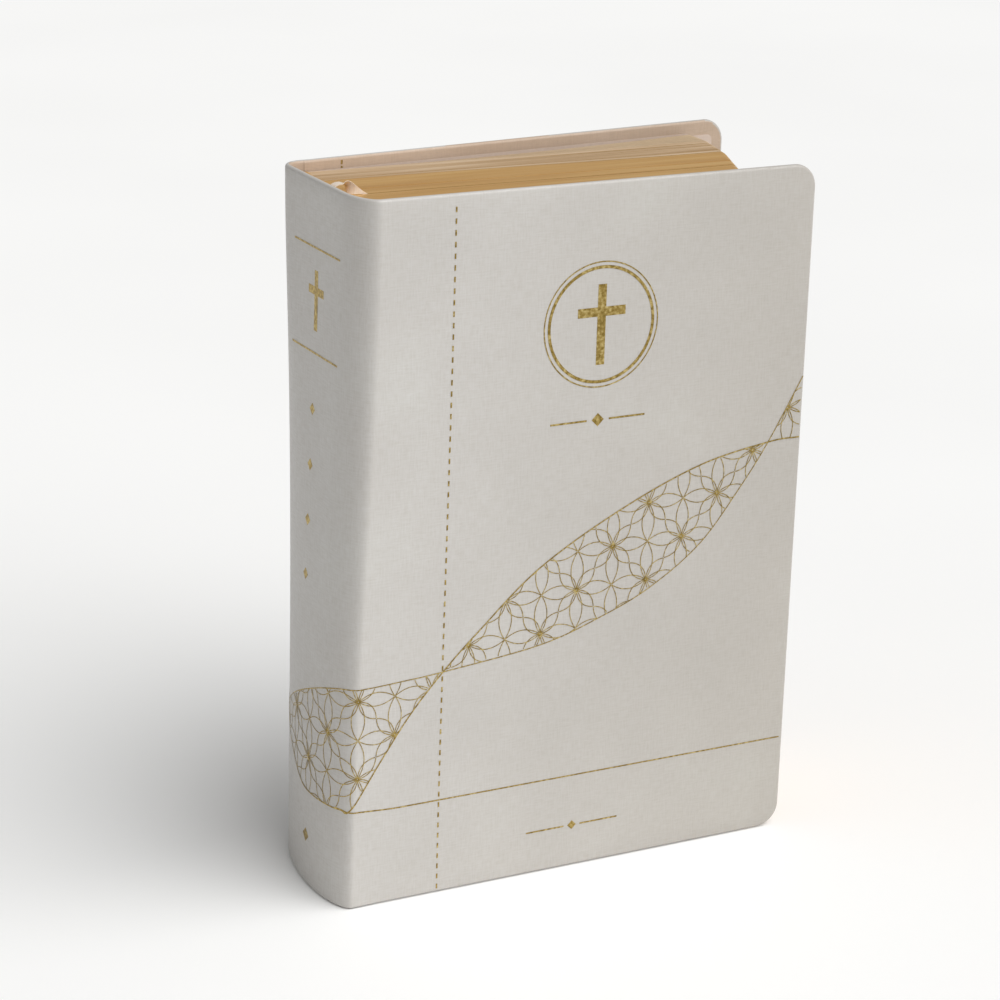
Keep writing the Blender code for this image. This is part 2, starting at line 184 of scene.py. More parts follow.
# %% Lamps and sky
def add_sun(name, azimuth, elevation, strength, softness):
    """A soft far lamp: azimuth 0 shines from the front, 90 from the fore-edge side."""
    a, e = math.radians(azimuth), math.radians(elevation)
    towards = Vector((math.sin(a) * math.cos(e), -math.cos(a) * math.cos(e), math.sin(e)))
    lamp = bpy.data.lights.new(name, "SUN")
    lamp.energy = strength
    lamp.angle = math.radians(softness)
    holder = bpy.data.objects.new(name, lamp)
    bpy.context.scene.collection.objects.link(holder)
    holder.location = towards
    holder.rotation_mode = "QUATERNION"
    holder.rotation_quaternion = (-towards).to_track_quat("-Z", "Y")


KEY_STRENGTH = 2.85
SKY_STRENGTH = 0.25
add_sun("key_light", 36, 52, KEY_STRENGTH, 62)
world = bpy.data.worlds.new("studio")
bpy.context.scene.world = world
world.use_nodes = True
sky = world.node_tree.nodes["Background"]
sky.inputs["Color"].default_value = (1.0, 0.995, 0.985, 1)
sky.inputs["Strength"].default_value = SKY_STRENGTH
bpy.context.scene.view_settings.view_transform = "Standard"
print("key", KEY_STRENGTH, "sky", SKY_STRENGTH)

# %% [markdown]
# ## Helpers for modelling
#
# The pieces are modelled with the editing tools that one would use by hand: select, cut, extrude
# and bevel. These helpers keep each such step to a line.

# %% Small helpers for modelling by hand
def deselect():
    bpy.ops.object.select_all(action="DESELECT")


def take(obj):
    """Make one object the only selected and active one."""
    deselect()
    obj.select_set(True)
    bpy.context.view_layer.objects.active = obj


def edit_all(obj, mode="VERT"):
    take(obj)
    bpy.ops.object.mode_set(mode="EDIT")
    bpy.ops.mesh.select_mode(type=mode)
    bpy.ops.mesh.select_all(action="SELECT")


def leave_edit():
    bpy.ops.object.mode_set(mode="OBJECT")


def pick(obj, kind, wanted):
    """In edit mode, leave selected the vertices, edges or faces that wanted() accepts."""
    bpy.ops.mesh.select_mode(type=kind)
    bpy.ops.mesh.select_all(action="DESELECT")
    leave_edit()
    mesh = obj.data
    items = {"VERT": mesh.vertices, "EDGE": mesh.edges, "FACE": mesh.polygons}[kind]
    for item in items:
        item.select = bool(wanted(item))
    bpy.ops.object.mode_set(mode="EDIT")


def cut(obj, axis, places):
    """Bisect the whole mesh at planes across one axis, so that it can bend there."""
    normal = [0, 0, 0]
    normal[axis] = 1
    edit_all(obj)
    for place in places:
        point = [0, 0, 0]
        point[axis] = place
        bpy.ops.mesh.select_all(action="SELECT")
        bpy.ops.mesh.bisect(plane_co=point, plane_no=normal)
    leave_edit()


def flip(obj):
    """Turn the faces of an open strip the other way."""
    edit_all(obj)
    bpy.ops.mesh.flip_normals()
    leave_edit()


def add_object(name, data):
    obj = bpy.data.objects.new(name, data)
    bpy.context.scene.collection.objects.link(obj)
    return obj


def coords(obj):
    values = np.empty(len(obj.data.vertices) * 3)
    obj.data.vertices.foreach_get("co", values)
    return values.reshape(-1, 3)


def set_coords(obj, values):
    obj.data.vertices.foreach_set("co", np.ascontiguousarray(values, dtype=np.float32).ravel())
    obj.data.update()


def outward(obj):
    """Merge doubles and turn every face outwards."""
    edit_all(obj)
    bpy.ops.mesh.remove_doubles(threshold=0.0005)
    bpy.ops.mesh.select_all(action="SELECT")
    bpy.ops.mesh.normals_make_consistent(inside=False)
    leave_edit()


def settle(obj, smooth_angle=35):
    """From book millimetres to metres in the CAD model's frame."""
    set_coords(obj, (coords(obj) + np.array(corner)) / MM)
    take(obj)
    bpy.ops.object.shade_smooth_by_angle(angle=math.radians(smooth_angle))
    deselect()


def finish_piece(obj, material, replaces=()):
    obj.data.materials.clear()
    for one in material if isinstance(material, (list, tuple)) else [material]:
        obj.data.materials.append(one)
    if replaces:
        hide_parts(*replaces)


print("helpers ready")

# %% [markdown]
# ## Materials
#
# A material is a small graph of nodes. One helper turns a paint-chart hex value to linear
# colour, and one adds a node with its settings and links.

# %% Colour and node helpers
def linear(code):
    """sRGB hex code to linear colour."""
    channels = [int(code[i : i + 2], 16) / 255 for i in (1, 3, 5)]
    return [c / 12.92 if c <= 0.04045 else ((c + 0.055) / 1.055) ** 2.4 for c in channels] + [1.0]


def add_node(tree, kind, settings=None, values=None, links=None):
    """One node: settings are its own fields, values and links go to its inputs."""
    node = tree.nodes.new(kind)
    for field, value in (settings or {}).items():
        setattr(node, field, value)
    for socket, value in (values or {}).items():
        node.inputs[socket].default_value = value
    for socket, source in (links or {}).items():
        tree.links.new(source, node.inputs[socket])
    return node


def noise(tree, vector, scale=1.0, **values):
    """Noise over a vector, as a number from 0 to 1."""
    values["Scale"] = scale
    return add_node(tree, "ShaderNodeTexNoise", values=values, links={"Vector": vector}).outputs["Fac"]


def new_material(name, roughness, metallic=0.0, sheen=0.0, coat=0.0):
    material = bpy.data.materials.new(name)
    material.use_nodes = True
    tree = material.node_tree
    shader = tree.nodes["Principled BSDF"]
    shader.inputs["Roughness"].default_value = roughness
    shader.inputs["Metallic"].default_value = metallic
    if sheen:
        shader.inputs["Sheen Weight"].default_value = sheen
        shader.inputs["Sheen Roughness"].default_value = 0.45
    if coat:
        shader.inputs["Coat Weight"].default_value = coat
        shader.inputs["Coat Roughness"].default_value = 0.4
    if not metallic:
        shader.inputs["IOR"].default_value = 1.5
    place = add_node(tree, "ShaderNodeTexCoord").outputs["Object"]
    return material, tree, shader, place


def stretched(tree, place, scale):
    mapping = add_node(tree, "ShaderNodeMapping", values={"Scale": scale}, links={"Vector": place})
    return mapping.outputs["Vector"]


def ramp(tree, source, stops):
    """Colour ramp from (position, hex) stops."""
    node = add_node(tree, "ShaderNodeValToRGB", links={"Fac": source})
    band = node.color_ramp
    while len(band.elements) < len(stops):
        band.elements.new(0.5)
    for element, (position, code) in zip(band.elements, stops):
        element.position = position
        element.color = linear(code)
    return node.outputs["Color"]


def bump(tree, shader, height, strength, distance_mm):
    node = add_node(
        tree, "ShaderNodeBump", values={"Strength": strength, "Distance": distance_mm / MM},
        links={"Height": height},
    )
    tree.links.new(node.outputs["Normal"], shader.inputs["Normal"])


def mix(tree, blend_type, factor, first, second):
    node = add_node(tree, "ShaderNodeMix", {"data_type": "RGBA", "blend_type": blend_type})
    if isinstance(factor, (int, float)):
        node.inputs[0].default_value = factor
    else:
        tree.links.new(factor, node.inputs[0])
    tree.links.new(first, node.inputs[6])
    tree.links.new(second, node.inputs[7])
    return node.outputs[2]


def maths(tree, operation, first, second=0.0):
    node = add_node(tree, "ShaderNodeMath", {"operation": operation})
    for socket, value in ((0, first), (1, second)):
        if isinstance(value, (int, float)):
            node.inputs[socket].default_value = value
        else:
            tree.links.new(value, node.inputs[socket])
    return node.outputs[0]


print("mid grey in linear light:", round(linear("#808080")[0], 3))

# %% [markdown]
# ### Pearl linen
#
# The case is book cloth: a plain linen weave under a thin pearl lacquer. Real threads are about
# 0.4 mm apart, which is just too fine to show here, so they are drawn 0.62 mm apart. Two noises
# stretched at right angles cross as warp and weft, with threads that swell and thin over four or
# five millimetres, and a faint mottle keeps the lacquer from looking flat.

# %% Pearl linen cloth
THREAD_MM = 0.62
SLUB_MM = 4.5


def shade_towards_edges(tree, place):
    """Painted shade: how much darker a spot of the case is painted, more towards the fore-edge and the
    tail.
    """
    parts = add_node(tree, "ShaderNodeSeparateXYZ", links={"Vector": place})
    from_spine = maths(tree, "MULTIPLY", maths(tree, "ADD", parts.outputs["X"], 0.04), 7.0)
    from_head = maths(tree, "MULTIPLY", maths(tree, "SUBTRACT", 0.22, parts.outputs["Z"]), 1.6)
    both = maths(tree, "ADD", from_spine, from_head)
    shade_amount = add_node(tree, "ShaderNodeMapRange", values={"From Max": 1.2}, links={"Value": both})
    return shade_amount.outputs[0]


def pearl_linen(name, weft_axis, shades=("#C8C5C1", "#CCC9C5", "#D0CECA")):
    """Book cloth whose warp runs along z; the weft runs along x, or along y on the spine."""
    material, tree, shader, place = new_material(name, 0.46, sheen=0.15, coat=0.10)
    across = MM / THREAD_MM * 1.25
    along = MM / SLUB_MM
    flat = 0.0
    if weft_axis == "X":
        scales = ((across, flat, along), (along, flat, across))
    else:
        scales = ((flat, across, along), (flat, along, across))
    threads = [noise(tree, stretched(tree, place, scale), Detail=2.0, Roughness=0.6) for scale in scales]
    height = maths(tree, "MULTIPLY", maths(tree, "ADD", threads[0], threads[1]), 0.5)
    cloud = ramp(tree, noise(tree, place, 22.0, Detail=3.0), list(zip((0.30, 0.55, 0.75), shades)))
    tint = ramp(tree, height, [(0.36, "#F1EFEB"), (0.50, "#F9F8F6"), (0.64, "#FFFFFF")])
    woven_tone = mix(tree, "MULTIPLY", 0.8, cloud, tint)
    # Painted shade: the cloth's colour is darkened towards the fore-edge and the tail.
    painted_edge_shade = ramp(tree, shade_towards_edges(tree, place), [(0.0, "#FFFFFF"), (1.0, "#E6E3DE")])
    tree.links.new(mix(tree, "MULTIPLY", 1.0, woven_tone, painted_edge_shade), shader.inputs["Base Color"])
    gloss = add_node(
        tree, "ShaderNodeMapRange", links={"Value": height},
        values={"From Min": 0.35, "From Max": 0.65, "To Min": 0.60, "To Max": 0.34},
    )
    tree.links.new(gloss.outputs[0], shader.inputs["Roughness"])
    bump(tree, shader, height, 0.24, 0.10)
    return material


linen = pearl_linen("pearl_linen_book_cloth", "X")
linen_spine = pearl_linen("pearl_linen_book_cloth_spine", "Y")
# Painted reflection: the linen that faces the gilt block is warmer, for the gold light the edges throw on
# it.
linen_painted_reflection = pearl_linen("pearl_linen_painted_gilt_reflection", "X", ("#C6AF9A", "#CCB6A2", "#D2BEAC"))
print("weave drawn at", THREAD_MM, "mm per thread")

# %% [markdown]
# ### Gold foil, gilt edges and papers
#
# Foil is a hot-stamped film: a metal, with small misses where the weave lifts it. Gilt edges are
# gold leaf burnished on the cut paper, so their pattern is a stack of fine lines, one to a leaf.
# Real leaves are 0.05 mm thick, and the lines are drawn about 0.4 mm apart. The fanned leaves
# show less gold than the closed block, so their edges are paler.

# %% Foil, gilt and paper
def gold_foil():
    material, tree, shader, place = new_material("hot_stamped_gold_foil", 0.34, metallic=1.0)
    misses = noise(tree, place, 900.0, Detail=3.0)
    colour = ramp(tree, misses, [(0.35, "#85703A"), (0.5, "#A48C50"), (0.68, "#CDB97E")])
    tree.links.new(colour, shader.inputs["Base Color"])
    rough = add_node(
        tree, "ShaderNodeMapRange", values={"To Min": 0.24, "To Max": 0.52}, links={"Value": misses}
    )
    tree.links.new(rough.outputs[0], shader.inputs["Roughness"])
    bump(tree, shader, misses, 0.4, 0.05)
    return material


def leaf_edge(name, stops, roughness, metallic):
    """Cut edges of many leaves: lines across y, slowly changing along x and z."""
    material, tree, shader, place = new_material(name, roughness, metallic=metallic)
    lines = noise(tree, stretched(tree, place, (9, 2300, 9)), Detail=3.0, Roughness=0.65)
    broad = noise(tree, stretched(tree, place, (14, 260, 14)), Detail=2.0)
    mixed = maths(tree, "MULTIPLY", maths(tree, "ADD", lines, broad), 0.5)
    tree.links.new(ramp(tree, mixed, stops), shader.inputs["Base Color"])
    bump(tree, shader, lines, 0.35, 0.12)
    return material


def near_cut_edge(tree, place):
    """1 within half a millimetre of the head and tail edges of the leaves, else 0."""
    middle = (leaf_low.z + leaf_high.z) / 2
    parts = add_node(tree, "ShaderNodeSeparateXYZ", links={"Vector": place})
    away = maths(tree, "ABSOLUTE", maths(tree, "SUBTRACT", parts.outputs["Z"], middle / MM))
    return maths(tree, "GREATER_THAN", away, (leaf_high.z - middle - 0.5) / MM)


def paper(name, stops, roughness=0.75, gilt_bleed=None):
    """Cream stock; a gilt bleed is the thin stain of gold size along the cut edges."""
    material, tree, shader, place = new_material(name, roughness)
    fibre = noise(tree, place, 700.0, Detail=4.0)
    cloud = noise(tree, place, 30.0, Detail=2.0)
    mixed = maths(tree, "MULTIPLY", maths(tree, "ADD", fibre, cloud), 0.5)
    tone = ramp(tree, mixed, stops)
    if gilt_bleed:
        stained = ramp(tree, mixed, [(0.3, gilt_bleed), (0.7, gilt_bleed)])
        tone = mix(tree, "MIX", near_cut_edge(tree, place), tone, stained)
    tree.links.new(tone, shader.inputs["Base Color"])
    bump(tree, shader, fibre, 0.15, 0.03)
    return material


foil = gold_foil()
GILT_STOPS = [(0.30, "#C8954F"), (0.5, "#DBAB63"), (0.70, "#ECC480")]
WORN_GILT_STOPS = [(0.32, "#A4845E"), (0.5, "#C4A57F"), (0.68, "#E2CCB0")]
PAGE_STOPS = [(0.3, "#E9E0D0"), (0.7, "#F3ECDF")]
gilt = leaf_edge("burnished_gilt_leaf_edges", GILT_STOPS, 0.36, 0.35)
pale_gilt = leaf_edge("worn_gilt_leaf_edges", WORN_GILT_STOPS, 0.55, 0.10)
page_paper = paper("cream_bible_paper", PAGE_STOPS, gilt_bleed="#B08A50")
fanned_paper = paper("cream_bible_paper_fanned", PAGE_STOPS, gilt_bleed="#D8C3A5")
end_paper = paper("cream_endpaper_stock", [(0.3, "#CBB7A8"), (0.7, "#D6C4B6")], 0.65)
print("materials so far:", len(bpy.data.materials))

# %% [markdown]
# ## The cloth case
#
# The case is one cloth wrapped round two boards and a soft spine. It could be cut as three
# plates, but then a joint would show at each hinge, so the front cover and the spine are one
# blank. A plane gets its two round corners, is extruded to the cover's thickness, has its rims
# bevelled as turned-in cloth is, and is cut at many lines so that it can bend. One formula then
# wraps the blank round the spine. The back cover is a second blank that starts at its hinge line.

# %% Shape of the spine
HEAD_CORNER_DEPTH = 14.0
TAIL_CORNER_DEPTH = 20.0
TAIL_BACK_DEPTH = 42.0
HEAD_BACK_DEPTH = 7.0
CORNER_POWER = 0.50
TAIL_BACK_POWER = 0.72
HEAD_CORNER_X = 7.4
FLAT_STEPS = 80
SPINE_LENGTH = 76.0
ARC_STEPS = 400
COVER_WALL = 2.3
SPINE_WALL_HEAD = 2.0
SPINE_WALL_TAIL = 1.3


def ease(t):
    t = np.clip(t, 0, 1)
    return t * t * (3 - 2 * t)


@lru_cache(maxsize=None)
def spine_line(z):
    """Plan outline from the front hinge line round the spine, as points and lengths."""
    share = float(ease(z / HEIGHT))
    bulge = TAIL_BULGE * (1 - share)
    front_depth = TAIL_CORNER_DEPTH + (HEAD_CORNER_DEPTH - TAIL_CORNER_DEPTH) * share
    back_depth = TAIL_BACK_DEPTH + (HEAD_BACK_DEPTH - TAIL_BACK_DEPTH) * share**2
    power = TAIL_BACK_POWER + (CORNER_POWER - TAIL_BACK_POWER) * share
    turn = np.linspace(0, math.pi / 2, ARC_STEPS)
    start_x = HEAD_CORNER_X * share
    front = np.stack([start_x - (start_x + bulge) * np.sin(turn), front_depth * (1 - np.cos(turn))], 1)
    fall = np.maximum(np.cos(turn), 0) ** (2 * power)
    back = np.stack(
        [HEAD_CORNER_X - (HEAD_CORNER_X + bulge) * fall, THICKNESS - back_depth * (1 - np.sin(turn))], 1
    )
    flat = np.linspace(front[-1], back[0], FLAT_STEPS)[1:-1]
    line = np.concatenate([[(HINGE_X, 0)], front, flat, back, [(HINGE_X, THICKNESS)]])
    steps = np.linalg.norm(np.diff(line, axis=0), axis=1)
    return line, np.append(0, np.cumsum(steps))


def on_spine(share, z):
    """Point and inward direction on the outer face, at a share of the way round the spine."""
    line, lengths = spine_line(round(float(z), 1))
    total = lengths[-1]
    here = share * total
    point = np.array([np.interp(here, lengths, line[:, k]) for k in (0, 1)])
    ahead = np.array([np.interp(min(here + 0.15, total), lengths, line[:, k]) for k in (0, 1)])
    behind = np.array([np.interp(max(here - 0.15, 0), lengths, line[:, k]) for k in (0, 1)])
    run = (ahead - behind) / max(np.linalg.norm(ahead - behind), 1e-9)
    return point, np.array([run[1], -run[0]])


tail_run, head_run = (spine_line(z)[1][-1] for z in (0, HEIGHT))
print(f"length round the spine: tail {tail_run:.1f} mm, head {head_run:.1f} mm")

# %% [markdown]
# ### Wrapping a blank
#
# The blank is flat, with s along it and depth through it. Before the hinge line, s becomes a share
# of the way round the spine's outline, and depth is laid off square to it. The outline is fuller
# at the tail than at the head, so every height has its own.

# %% Wrap a blank round the spine
def wrap(points):
    """Blank (s, depth, z) to book coordinates; s runs from -SPINE_LENGTH to the fore-edge."""
    wrapped = points.copy()
    for i, (s, depth, z) in enumerate(points):
        if s < HINGE_X:
            share = (HINGE_X - s) / SPINE_LENGTH
            wall_share = float(ease(z / HEIGHT))
            wall = SPINE_WALL_TAIL + (SPINE_WALL_HEAD - SPINE_WALL_TAIL) * wall_share
            near_hinge = 1 - float(ease(min(HINGE_X - s, SPINE_LENGTH - HINGE_X + s) / 6.0))
            wall += (COVER_WALL - wall) * near_hinge * 0.6
            point, inward = on_spine(share, min(max(z, 0), HEIGHT))
            place = point + inward * depth * (wall / COVER_WALL if depth > 0 else 1)
            wrapped[i] = (place[0], place[1], z)
    return wrapped


BLEND_END = 15.0


def splay_back(values, start=HINGE_X, end=BLEND_END, turn=None, pivot=None):
    """Turn closed back pieces to their rest angle, gradually across the flexible strip."""
    angle = math.radians(SPLAY if turn is None else turn)
    px, py = pivot or (HINGE_X, THICKNESS + HINGE_OFFSET)
    share = ease((values[:, 0] - start) / (end - start)) * angle
    x, y = values[:, 0] - px, values[:, 1] - py
    turned = values.copy()
    turned[:, 0] = px + x * np.cos(share) - y * np.sin(share)
    turned[:, 1] = py + x * np.sin(share) + y * np.cos(share)
    return turned


def bend_window(piece, body, start, end):
    """Bake the piece's placement into its mesh; body, start and end are not used."""
    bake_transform(piece)


print("cloth laid out for the spine:", SPINE_LENGTH, "mm")

# %% [markdown]
# ### Cutting and rounding the blanks
#
# A cover has soft rims, because the cloth is turned in over the board. A bevel round the rim gives
# that with far fewer faces than subdividing the whole cover.

# %% Model the case blanks
CORNER_RADIUS = 7.8
RIM = 0.95


def rounded_plate(name, start, end, low, high, front, back, radius, rim=0.0, rim_steps=3):
    """A plate in the x-z plane with two round corners at its fore-edge and soft rims."""
    deselect()
    bpy.ops.mesh.primitive_plane_add(
        size=1, location=((start + end) / 2, front, (low + high) / 2), rotation=(math.pi / 2, 0, 0)
    )
    plate = bpy.context.active_object
    plate.name = name
    plate.data.name = name
    plate.scale = (end - start, high - low, 1)
    bpy.ops.object.transform_apply(location=True, rotation=True, scale=True)
    bpy.ops.object.mode_set(mode="EDIT")
    if radius:
        pick(plate, "VERT", lambda v: v.co.x > (start + end) / 2)
        bpy.ops.mesh.bevel(offset=radius, offset_type="OFFSET", segments=10, affect="VERTICES")
    bpy.ops.mesh.select_all(action="SELECT")
    bpy.ops.mesh.extrude_region_move(TRANSFORM_OT_translate={"value": (0, back - front, 0)})
    bpy.ops.mesh.select_all(action="SELECT")
    bpy.ops.mesh.normals_make_consistent(inside=False)
    if rim:
        def on_rim(edge):
            a, b = (plate.data.vertices[i].co for i in edge.vertices)
            return abs(a.y - b.y) < 1e-4 and min(a.x, b.x) > start - 1e-3 and max(a.x, b.x) > start + 1e-3
        pick(plate, "EDGE", on_rim)
        bpy.ops.mesh.bevel(offset=rim, offset_type="OFFSET", segments=rim_steps, affect="EDGES")
    leave_edit()
    return plate


def case_lines():
    """Where the blank is cut so that it can wrap: close together at the tight corners."""
    first = list(np.arange(7.5, -14.0, -0.5)) + list(np.arange(-14, -24, -1.25))
    middle = list(np.arange(-25, -44, -3.0))
    last = list(np.arange(-44, -56, -1.5)) + list(np.arange(-56, HINGE_X - SPINE_LENGTH, -0.5))
    return first + middle + last


HEIGHT_LINES = [6 + 8.4 * i for i in range(27)]
front_cloth = rounded_plate(
    "front_and_spine_cloth", HINGE_X - SPINE_LENGTH, REACH, 0, HEIGHT, 0, COVER_WALL, CORNER_RADIUS, RIM
)
cut(front_cloth, 0, case_lines() + list(np.arange(8.0, 16.5, 0.7)) + [20, 31, 60, 100])
cut(front_cloth, 2, HEIGHT_LINES)
set_coords(front_cloth, wrap(coords(front_cloth)))
outward(front_cloth)
settle(front_cloth)
finish_piece(
    front_cloth, [linen, linen_spine, linen_painted_reflection],
    ["front_cover_skin", "front_cover_board", "spine_skin", "spine_stiffener"],
)


BLOCK_CENTRE = Vector((80, THICKNESS / 2, 0))


def paint_cloth(cloth, has_spine):
    """The side that faces the block takes a warmer linen: a painted reflection of the gilt edges."""
    for face in cloth.data.polygons:
        to_block = (BLOCK_CENTRE + corner) / MM - face.center
        to_block.z = 0
        # Faces towards the block get the painted gilt reflection.
        if face.normal.dot(to_block.normalized()) > 0.25:
            face.material_index = 1 + has_spine
        else:
            face.material_index = has_spine * int(abs(face.normal.x) > 0.72)


paint_cloth(front_cloth, 1)
bend_window(front_cloth, "front_cover", HINGE_X, BLEND_END)
print("front and spine cloth:", len(front_cloth.data.polygons), "faces")

# %% [markdown]
# ### The back cover
#
# The back cover is made as the front one is, in mirror image, and it reaches further. It is a
# blank of its own because it bends at its own hinge, and it rests a few degrees open.

# %% The back cover
def mirror_y(values):
    mirrored = values.copy()
    mirrored[:, 1] = THICKNESS - mirrored[:, 1]
    return mirrored


back_cloth = rounded_plate(
    "back_cover_cloth", HINGE_X, BACK_REACH, 0, HEIGHT, 0, COVER_WALL, CORNER_RADIUS, RIM
)
cut(back_cloth, 0, list(np.arange(8.7, 16.5, 0.7)) + [20, 31, 60, 100])
cut(back_cloth, 2, HEIGHT_LINES)
set_coords(back_cloth, splay_back(mirror_y(coords(back_cloth))))
outward(back_cloth)
settle(back_cloth)
finish_piece(back_cloth, [linen, linen_painted_reflection], ["back_cover_skin", "back_cover_board"])
paint_cloth(back_cloth, 0)
bend_window(back_cloth, "back_cover", HINGE_X, BLEND_END)
print("back cloth:", len(back_cloth.data.polygons), "faces")

# %% [markdown]
# ## Endpapers
#
# A sheet of cream stock is pasted inside each cover, short of the edges so that a border of turned-in cloth
# shows. A second leaf stands free beside it; the back one is bent open at the hinge.

# %% Pastedowns and free endleaves
TURN_IN_BORDER = 5.0
PAGE_CORNER = 3.5
ENDLEAF_BEND = (8.0, 17.0)


def paper_leaf(name, start, end, low, high, front, back, radius, lines):
    leaf = rounded_plate(name, start, end, low, high, front, back, radius)
    cut(leaf, 0, lines)
    return leaf


for side, reach, leaf_end in (("front", REACH, FRONT_LEAF_END), ("back", BACK_REACH, BACK_LEAF_END)):
    paste = paper_leaf(
        side + "_pastedown_paper", BLEND_END + 0.5, reach - TURN_IN_BORDER, TURN_IN_BORDER,
        HEIGHT - TURN_IN_BORDER, COVER_WALL, 2.5, 2.0, [31, 60, 100],
    )
    free = paper_leaf(
        side + "_free_endleaf", 8.4, leaf_end, leaf_low.z, leaf_high.z, 2.85, 3.05, PAGE_CORNER,
        list(np.arange(8.8, 18.0, 0.8)) + [24, 40, 80],
    )
    if side == "back":
        set_coords(paste, splay_back(mirror_y(coords(paste))))
        set_coords(free, splay_back(mirror_y(coords(free)), *ENDLEAF_BEND, rest_turn("back_flyleaf_hinge")))
    for leaf in (paste, free):
        outward(leaf)
        settle(leaf)
    finish_piece(paste, end_paper, [side + "_pastedown"])
    finish_piece(free, end_paper, [side + "_flyleaf"])
    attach(paste, side + "_cover")
    bend_window(free, side + "_endleaf", *ENDLEAF_BEND)
print("endpapers made")

# %% [markdown]
# ## Leaf block
#
# The leaves are sewn in twenty-four gatherings. Each is one page-shaped plate, extruded in four steps of
# slightly unequal size so that its cut edge is not dead flat, and cut across where it bends. The outer
# gatherings at the back curve away with the back cover. The block is squeezed a few millimetres at the
# fore-edge, as a rounded block is. It also leans: each gathering ends a little further out than the one
# before it, and the last leaves fan out.

# %% Gatherings
GATHERINGS = 24
RIBBON_AFTER = 9
MOVING = 6
BACK_X = 4.9
BACK_ROUNDING = 2.6
BLOCK_FRONT = 3.4
GATHERING = leaf_high.y - leaf_low.y
PITCH = GATHERING + 0.3
SLOT_EXTRA = 0.55
RIBBON_PRESS = 0.25
SQUEEZE = 4.2
SQUEEZE_Y = 45.2
OVERLAP = 0.149
SPINE_FACE_X = 0.0078
GATHERING_BEND = (9, 60)
rng = random.Random(7)


def block_back(y):
    half = THICKNESS / 2 - BLOCK_FRONT
    return BACK_X + BACK_ROUNDING * ((y - THICKNESS / 2) / half) ** 2


def fore_edge(y):
    """The block leans: its leaves end further out towards the back cover."""
    share = (y - BLOCK_FRONT) / (THICKNESS - 2 * BLOCK_FRONT)
    return FRONT_LEAF_END + (BACK_LEAF_END - FRONT_LEAF_END) * share


def squeeze(values):
    """Pull the middle of the block forward towards the fore-edge."""
    y = values[:, 1]
    rise = np.clip((y - BLOCK_FRONT) / (SQUEEZE_Y - BLOCK_FRONT), 0, 1)
    fall = np.clip((THICKNESS - BLOCK_FRONT - y) / (THICKNESS - BLOCK_FRONT - SQUEEZE_Y), 0, 1)
    values[:, 1] = y - SQUEEZE * ease((values[:, 0] - 20) / 120) * np.minimum(rise, fall)
    return values


def gathering_front(number):
    return BLOCK_FRONT + (number - 1) * PITCH + (SLOT_EXTRA if number > RIBBON_AFTER else 0.0)


def leaf_stack(name, front, back, layers):
    """A page-shaped stack of leaves, extruded layer by layer with a little unevenness."""
    low, high = leaf_low.z, leaf_high.z
    width = fore_edge(front) - block_back(front)
    first_back = front + (back - front) / layers
    stack = rounded_plate(name, 0, width, low, high, front, first_back, PAGE_CORNER)
    bpy.ops.object.mode_set(mode="EDIT")
    for layer in range(1, layers):
        top = front + (back - front) * layer / layers
        pick(stack, "FACE", lambda f: abs(f.center.y - top) < 1e-3 and abs(f.normal.y) > 0.9)
        bpy.ops.mesh.extrude_region_move(TRANSFORM_OT_translate={"value": (0, (back - front) / layers, 0)})
        grow = 1 + rng.uniform(-0.0003, 0.0003)
        bpy.ops.transform.resize(value=(grow, 1, grow), center_override=(width / 2, 0, (low + high) / 2))
        leave_edit()
        bpy.ops.object.mode_set(mode="EDIT")
    leave_edit()
    cut(stack, 0, [2, 5, 9, 14, 20, 28, 38, 50, 66, 90, 118])
    values = coords(stack)
    start_x, end_x = block_back(values[:, 1]), fore_edge(values[:, 1])
    from_corner = values[:, 0] - (width - PAGE_CORNER)
    share = np.clip(values[:, 0] / (width - PAGE_CORNER), 0, 1)
    values[:, 0] = start_x + (end_x - PAGE_CORNER - start_x) * share + np.maximum(from_corner, 0)
    set_coords(stack, squeeze(values))
    return stack


def paint_edges(stack, edge, page):
    """Gilt on the cut edges, paper on the page faces and at the sewn side."""
    stack.data.materials.clear()
    stack.data.materials.append(edge)
    stack.data.materials.append(page)
    for face in stack.data.polygons:
        on_page = abs(face.normal.y) > 0.7
        at_spine = (face.center.x - corner.x / MM) < SPINE_FACE_X and abs(face.normal.x) > 0.5
        face.material_index = int(on_page or at_spine)


def pivot_of(joint):
    """Where the axis of a joint stands on the plan."""
    place = joint_place(joint) - corner
    return place.x, place.y


for number in range(1, GATHERINGS):
    front = gathering_front(number)
    name = f"gathering_{number:02d}"
    press = RIBBON_PRESS if number == RIBBON_AFTER + 1 else 0.0
    stack = leaf_stack(name + "_leaves_stack", front - OVERLAP - press, front + GATHERING + OVERLAP, 4)
    moving = number <= MOVING or number > GATHERINGS - MOVING
    at_back = number > GATHERINGS - MOVING
    if at_back:
        hinge = name + "_hinge"
        set_coords(stack, splay_back(coords(stack), *GATHERING_BEND, rest_turn(hinge), pivot_of(hinge)))
    outward(stack)
    settle(stack, 25)
    paint_edges(stack, pale_gilt if at_back else gilt, page_paper)
    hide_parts(name)
    if moving:
        bend_window(stack, name + "_leaves", *GATHERING_BEND)
    else:
        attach(stack, "spine_and_block")
print(GATHERINGS - 1, "gatherings of", round(GATHERING, 2), "mm")

# %% [markdown]
# ### The fanned last gathering
#
# The leaves of the last gathering lie open like a fan between the block and the back endleaf.
# They are drawn as thin bundles of a few leaves. A bundle follows the endleaf by only a share of
# its turn, because its bend is spread over more length than the leaf has.

